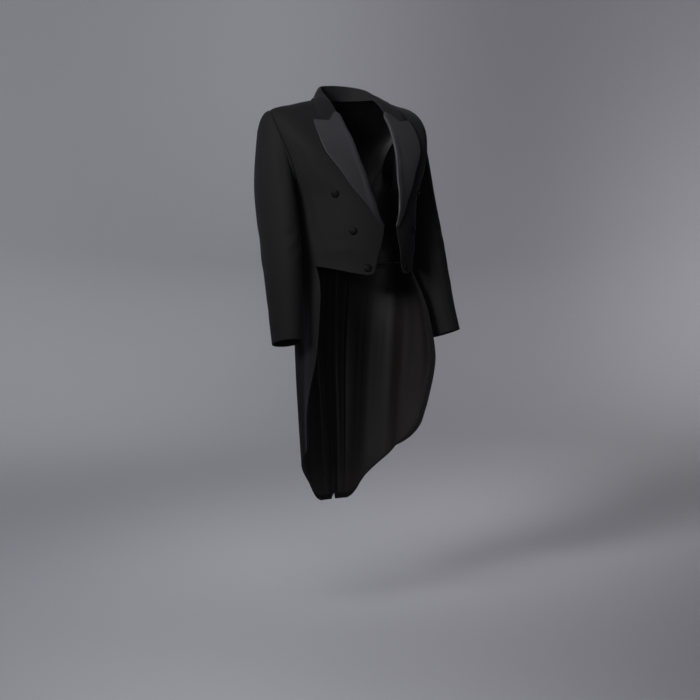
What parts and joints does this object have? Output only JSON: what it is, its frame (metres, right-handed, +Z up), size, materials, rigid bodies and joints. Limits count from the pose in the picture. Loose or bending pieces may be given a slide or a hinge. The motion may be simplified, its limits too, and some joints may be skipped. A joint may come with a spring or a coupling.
{
  "type": "tailcoat",
  "caption": "Empty white tie tailcoat held open in the round: waist-length fronts with peak satin lapels, long sleeves and curved tails with a back vent.",
  "frame": {"origin": "midway between the two side-neck points, where the coat hangs on the shoulders", "axes": "+Z up, the wearer faces -Y, the wearer's left is +X"},
  "size_m": [0.556, 0.3216, 1.0646],
  "materials": {
    "wool": "matte black wool barathea",
    "satin": "black silk satin with a soft sheen",
    "lining": "smooth black satin lining",
    "button": "black cloth-covered button"
  },
  "bodies": {
    "root": {"forepart_right": "wool", "forepart_left": "wool", "side_body_right": "wool", "side_body_left": "wool", "back_right": "wool", "back_left": "wool", "skirt_right": "wool", "skirt_left": "wool", "top_sleeve_right": "wool", "top_sleeve_left": "wool", "under_sleeve_right": "wool", "under_sleeve_left": "wool", "collar": "wool", "lapel_right": "satin", "lapel_left": "satin", "tail_lining_right": "lining", "tail_lining_left": "lining", "button_top_right": "button", "button_top_left": "button", "button_middle_right": "button", "button_middle_left": "button", "button_bottom_right": "button", "button_bottom_left": "button", "button_back_right": "button", "button_back_left": "button"}
  },
  "joints": []
}
